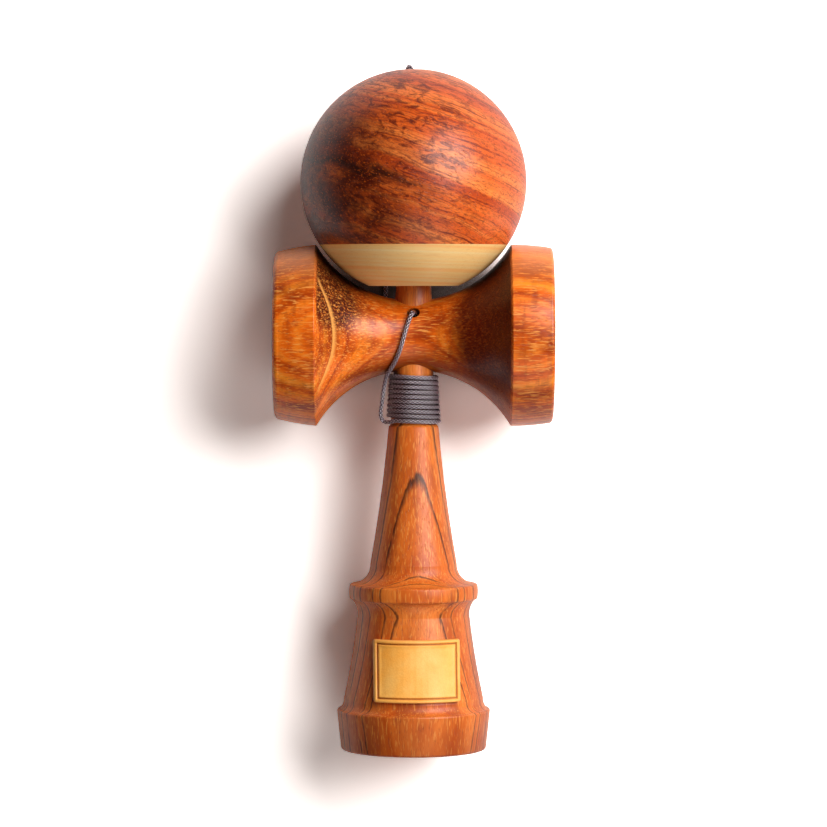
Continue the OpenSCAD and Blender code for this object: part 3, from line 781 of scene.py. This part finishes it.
def sarado_finish():
    material, tree, shader = new_finish("oiled_cross_wood")
    place = in_frame(tree, ken_origin, upright)
    flat = depth_along(tree, place, (0.0, -1, 0.02))
    depth = waved(tree, flat, place, (34, 8, 9), 0.8)
    sheets = layers(tree, depth, 2.6)
    fibres = noise(tree, place, (16, 0.7, 0.7), detail=4.0, rough=0.6)
    flecks = noise(tree, place, (2.6, 0.42, 0.42), detail=2.0)
    ripples = noise(tree, place, (4.2, 0.8, 0.34), detail=2.0, bend=0.6)
    pores = between(tree, noise(tree, place, (3.4, 0.25, 0.25), detail=1.0), 0.62, 0.74)
    clouds = noise(tree, place, (18, 9, 9), detail=3.0)

    body = ramp(
        tree, sheets, (0.30, tone(166, 53, 0)), (0.48, tone(230, 101, 12)), (0.68, tone(255, 147, 38))
    )
    body = mix(tree, between(tree, clouds, 0.45, 0.7), body, tone(146, 48, 6))
    curl = noise(tree, place, (2.4, 14, 11), detail=3.0)
    body = stain(tree, body, between(tree, curl, 0.5, 0.7), 0.5, tone(150, 50, 6))
    across = add_node(tree, "ShaderNodeSeparateXYZ", {0: place}).outputs["X"]
    off_left_cup = between(tree, across, left_edge - edge_soft, left_edge + edge_soft)
    heart = between(tree, blot(tree, place, (-20, -18, 14), (15, 18, 20)), 0.0, 0.5)
    body = stain(tree, body, heart, off_left_cup, tone(70, 15, 5))
    body = stain(tree, body, between(tree, fibres, 0.48, 0.7), 0.42, tone(136, 46, 8))
    body = stain(tree, body, between(tree, flecks, 0.53, 0.68), 0.62, tone(246, 138, 48))
    body = stain(tree, body, between(tree, ripples, 0.55, 0.68), 0.6, tone(252, 172, 84))
    height = add_node(tree, "ShaderNodeSeparateXYZ", {0: place}).outputs["Z"]
    outward = calculate(tree, "ABSOLUTE", across)
    on_cup = between(tree, outward, right_edge - edge_soft, right_edge + edge_soft)
    # Painted light: the cups' ends towards the ball, which face the lamp, are paler.
    lit_cup_end = calculate(tree, "MULTIPLY", between(tree, height, 12.0, 22.0), on_cup)
    body = stain(tree, body, lit_cup_end, 0.6, tone(246, 150, 82))
    off_right_cup = between(tree, across, right_edge + edge_soft, right_edge - edge_soft)
    banded = calculate(tree, "MULTIPLY_ADD", flecks, -0.7, 1.3)
    far_heart = between(tree, blot(tree, place, (21, -15, 4), (18, 26, 38)), 0.0, 0.62)
    far_heart = calculate(tree, "MULTIPLY", far_heart, banded)
    body = stain(tree, body, far_heart, off_right_cup, tone(84, 18, 3))
    # Partly a darker growth layer, partly painted shade on the lower waist, which turns away from the
    # lamp.
    low_layer_and_shade = blot(tree, place, (0, -5, -11), (26, 14, 10))
    body = stain(tree, body, low_layer_and_shade, 0.95, tone(104, 27, 4))
    fading_out = between(tree, across, left_edge - edge_soft, left_edge + 4 * edge_soft)
    side = calculate(tree, "MULTIPLY", between(tree, across, -8.0, -16.0), fading_out)
    streak = calculate(tree, "MULTIPLY", ink_lines(tree, depth, (17.6, 1.1, 0.5, 1.0)), side)
    body = stain(tree, body, streak, 0.75, tone(246, 172, 88))
    edge = calculate(tree, "MULTIPLY", ink_lines(tree, depth, (18.0, 0.12, 0.22, 1.0)), side)
    body = stain(tree, body, edge, 0.7, tone(84, 34, 16))
    body = stain(tree, body, pores, 0.4, tone(106, 38, 14))
    satin(tree, shader, body, fibres, pores, polish=0.3)
    return material


assign("sarado", sarado_finish())

# %% [markdown]
# ## The ball's two woods
# Most of the ball is a dark reddish wood whose layers lie on a slant, with a stormy figure on the
# left and fine straight lines on the right. Its foot is pale maple with hardly any figure. Both come
# from layers of random depth, which wander more where the figure is stormy.

# %% Finish the ball's crown
layer_slant = radians(19)
slanted = (
    Matrix.Rotation(lean - pi / 2, 3, "X") @ Matrix.Rotation(layer_slant, 3, "Y")
).to_euler()


def crown_finish():
    material, tree, shader = new_finish("figured_ball_wood")
    place = in_frame(tree, ball_origin, slanted)
    storm = blot(tree, place, (-20, -12, -8), (48, 54, 38))
    flat = depth_along(tree, place, (0.0, 0.12, 1.0))
    depth = waved(tree, flat, place, (26, 20, 9), 1.8)
    swirl = calculate(tree, "SUBTRACT", noise(tree, place, (11, 9, 6), detail=5.0, bend=0.4), 0.5)
    depth = calculate(tree, "MULTIPLY_ADD", calculate(tree, "MULTIPLY", swirl, storm), 9.0, depth)
    sheets = layers(tree, depth, 4.2)
    fine = layers(tree, depth, 0.7, rough=0.6)
    fibres = noise(tree, place, (4.5, 1.0, 0.5), detail=5.0, rough=0.7, bend=0.3)
    flecks = noise(tree, place, (0.8, 0.45, 0.38), detail=2.0)
    pores = between(tree, noise(tree, place, (1.5, 0.3, 0.28), detail=1.0), 0.6, 0.72)
    clouds = noise(tree, place, (13, 13, 6), detail=5.0, rough=0.65, bend=0.7)

    body = ramp(
        tree, sheets, (0.28, tone(172, 54, 10)), (0.46, tone(218, 92, 28)), (0.68, tone(248, 138, 62))
    )
    broken = between(tree, noise(tree, place, (12, 9, 2.2), detail=3.0), 0.36, 0.66)
    fine = calculate(tree, "MULTIPLY", between(tree, fine, 0.48, 0.66), broken)
    body = stain(tree, body, fine, 0.95, tone(116, 32, 8))
    mottled = noise(tree, place, (4.2, 3.0, 1.9), detail=5.0, rough=0.7, bend=0.8)
    wide = between(tree, blot(tree, place, (-16, -14, 2), (58, 60, 60)), 0.1, 0.7)
    mottled = calculate(tree, "MULTIPLY", between(tree, mottled, 0.47, 0.63), wide)
    body = stain(tree, body, mottled, 0.88, tone(90, 22, 6))
    patchy = calculate(tree, "MULTIPLY_ADD", between(tree, clouds, 0.3, 0.62), 0.62, 0.38)
    body = stain(tree, body, between(tree, storm, 0.05, 0.8), patchy, tone(70, 14, 3))
    band = ink_lines(tree, depth, (-4.9, 2.4, 2.4, 0.95))
    reach = between(tree, blot(tree, place, (-22, -14, -5), (42, 50, 20)), 0.0, 0.5)
    body = stain(tree, body, band, reach, tone(44, 12, 5))
    body = stain(tree, body, between(tree, fibres, 0.48, 0.68), 0.75, tone(96, 24, 6))
    body = stain(tree, body, between(tree, flecks, 0.56, 0.7), 0.42, tone(236, 110, 30))
    body = stain(tree, body, pores, 0.45, tone(66, 22, 10))
    satin(tree, shader, body, fibres, pores, polish=0.34)
    return material


assign("ball_crown", crown_finish())

# %% Finish the ball's foot and the bead
def foot_finish(name="pale_maple"):
    material, tree, shader = new_finish(name)
    place = in_frame(tree, ball_origin, upright)
    depth = waved(tree, depth_along(tree, place, (0.03, 0.0, 1.0)), place, (40, 30, 5), 0.35)
    sheets = layers(tree, depth, 1.5)
    fibres = noise(tree, place, (9, 0.8, 0.35), detail=3.0)
    pores = between(tree, noise(tree, place, (1.6, 0.2, 0.16), detail=1.0), 0.64, 0.76)
    body = ramp(
        tree, sheets, (0.3, tone(255, 190, 112)), (0.5, tone(255, 208, 134)), (0.7, tone(255, 218, 152))
    )
    body = stain(tree, body, between(tree, fibres, 0.5, 0.75), 0.2, tone(220, 146, 84))
    body = stain(tree, body, pores, 0.2, tone(164, 104, 58))
    satin(tree, shader, body, fibres, pores, nook=tone(150, 92, 44))
    return material


assign("ball_foot", foot_finish())
assign("bead", foot_finish("bead_maple"))

# %% [markdown]
# ## The leather patch
# A piece of tan leather is glued to the bell of the handle. A pressed groove runs round it just
# inside the rim. A flat card would miss the bell, so each point of a fine grid looks straight back
# along the front direction until it meets the wood, and is raised from there by the leather.

# %% Make the leather patch
patch_width, patch_height, patch_thick, patch_corner = 23.0, 16.3, 1.4, 0.7
patch_middle, patch_turn, glue_gap = -88.3, radians(3.5), 0.05
groove_in, groove_half, groove_flat, groove_deep = 1.1, 0.38, 0.095, 0.5
field_drop, field_slope, edge_round = 0.18, 1.2, 0.45
patch_columns, patch_rows = 150, 110
look_from, look_tries = 50 * MM, 3

bpy.context.view_layer.update()
ken_tree = BVHTree.FromObject(nodes["ken"], bpy.context.evaluated_depsgraph_get())
front = from_ken(sin(patch_turn), -cos(patch_turn), 0) - from_ken(0, 0, 0)
front.normalize()
sideways = (from_ken(cos(patch_turn), sin(patch_turn), 0) - from_ken(0, 0, 0)) / MM


def inside_edge(u, w):
    """How far a point of the patch lies inside its rounded outline, in millimetres."""
    dx = abs(u) - (patch_width / 2 - patch_corner)
    dy = abs(w) - (patch_height / 2 - patch_corner)
    outside = hypot(max(dx, 0), max(dy, 0))
    return patch_corner - outside - min(max(dx, dy), 0)


def soft_step(value, low, high):
    share = min(1, max(0, (value - low) / (high - low)))
    return share * share * (3 - 2 * share)


def leather_height(inset):
    """The leather's thickness that far inside its outline: a round edge, a rim, a groove, a field."""
    round_off = edge_round - sqrt(max(0, edge_round**2 - max(0, edge_round - inset) ** 2))
    groove = groove_deep * (1 - soft_step(abs(inset - groove_in), groove_flat, groove_half))
    field = field_drop * soft_step(inset, groove_in, groove_in + field_slope)
    return patch_thick - round_off - groove - field


def squared(s, t, half_wide, half_high):
    """A point of a rectangle with round corners, from a point of the square from -1 to 1."""
    u, w = s * half_wide, t * half_high
    a = (abs(u) - half_wide) / patch_corner + 1
    b = (abs(w) - half_high) / patch_corner + 1
    if a > 0 and b > 0:
        u = copysign(half_wide + patch_corner * (a * sqrt(1 - b * b / 2) - 1), u)
        w = copysign(half_high + patch_corner * (b * sqrt(1 - a * a / 2) - 1), w)
    return u, w


def on_bell(u, w, height):
    """The point that far above the bell's wood, straight behind a point of the patch's outline."""
    aim = from_ken(0, 0, patch_middle) + (sideways * u + along * w) * MM + front * look_from
    sidestep = Vector((0, 0, 0))
    for _ in range(look_tries):
        hit, normal, _, _ = ken_tree.ray_cast(aim - sidestep, -front)
        raised = normal * (height + glue_gap) * MM
        sidestep = raised - front * raised.dot(front)
    return hit + raised


def patch_mesh():
    points, faces, insets = [], [], []
    row_length = patch_columns + 1
    for level in ("top", "bottom"):
        for j in range(patch_rows + 1):
            for i in range(row_length):
                u, w = squared(
                    2 * i / patch_columns - 1, 2 * j / patch_rows - 1, patch_width / 2, patch_height / 2
                )
                inset = max(0, inside_edge(u, w))
                points.append(on_bell(u, w, leather_height(inset) if level == "top" else 0))
                insets.append(inset)
    under = (patch_rows + 1) * row_length
    for j in range(patch_rows):
        for i in range(patch_columns):
            a = j * row_length + i
            quad = (a, a + 1, a + row_length + 1, a + row_length)
            faces.append(quad)
            faces.append(tuple(under + k for k in reversed(quad)))
    rim = [(i, 0) for i in range(patch_columns)]
    rim += [(patch_columns, j) for j in range(patch_rows)]
    rim += [(patch_columns - i, patch_rows) for i in range(patch_columns)]
    rim += [(0, patch_rows - j) for j in range(patch_rows)]
    ring = [j * row_length + i for i, j in rim]
    for a, b in zip(ring, ring[1:] + ring[:1]):
        faces.append((b, a, under + a, under + b))
    mesh = bpy.data.meshes.new("patch")
    mesh.from_pydata(points, [], faces)
    mesh.shade_smooth()
    inset = mesh.attributes.new("inset", "FLOAT", "POINT")
    inset.data.foreach_set("value", insets)
    return mesh


patch = bpy.data.objects.new("leather", patch_mesh())
print("leather patch:", len(patch.data.polygons), "faces")

# %% [markdown]
# ## The leather's finish
# Tan leather has a grain of small cells. The pressed groove is burnt darker, and the rim and outer edge
# get a paler painted highlight.
# A painted picture could show both, but the grid already carries how far each point lies
# inside the outline, as an attribute, so the finish finds the groove and the rim by itself.

# %% Finish the leather patch
rim_light_begins, rim_light_full = 0.7, 0.2
leather_relief = 0.03 * MM


def leather_finish():
    material, tree, shader = new_finish("tan_leather")
    place = in_frame(tree, from_ken(0, 0, patch_middle), upright)
    grain = add_node(
        tree, "ShaderNodeTexVoronoi",
        {"Vector": combine(tree, "DIVIDE", place, (0.45, 0.45, 0.45)), "Scale": 1.0}, feature="F1",
    ).outputs["Distance"]
    fine = noise(tree, place, (0.16, 0.16, 0.16), detail=3.0)
    clouds = noise(tree, place, (5, 5, 5), detail=3.0)
    body = ramp(
        tree, clouds, (0.3, tone(255, 172, 66)), (0.5, tone(255, 182, 82)), (0.7, tone(255, 192, 98))
    )
    body = stain(tree, body, between(tree, grain, 0.35, 0.75), 0.1, tone(200, 112, 40))
    inset = add_node(tree, "ShaderNodeAttribute", attribute_name="inset").outputs["Fac"]
    burnt = ink_lines(tree, inset, (groove_in, groove_half, groove_half, 1.0))
    body = stain(tree, body, burnt, 0.85, tone(150, 66, 10))
    # Painted highlight: the rim and the outer edge are paler.
    body = stain(tree, body, between(tree, inset, rim_light_begins, rim_light_full), 0.4, tone(250, 176, 96))
    tree.links.new(body, shader.inputs["Base Color"])
    tree.links.new(calculate(tree, "MULTIPLY_ADD", fine, 0.2, 0.4), shader.inputs["Roughness"])
    relief = calculate(tree, "SUBTRACT", fine, calculate(tree, "MULTIPLY", grain, 0.8))
    roughen(tree, shader, relief, leather_relief)
    return material


patch.data.materials.append(leather_finish())
bpy.context.scene.collection.objects.link(patch)
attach(patch, "ken")
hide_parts("leather_patch")
print("leather patch is finished with", patch.data.materials[0].name)
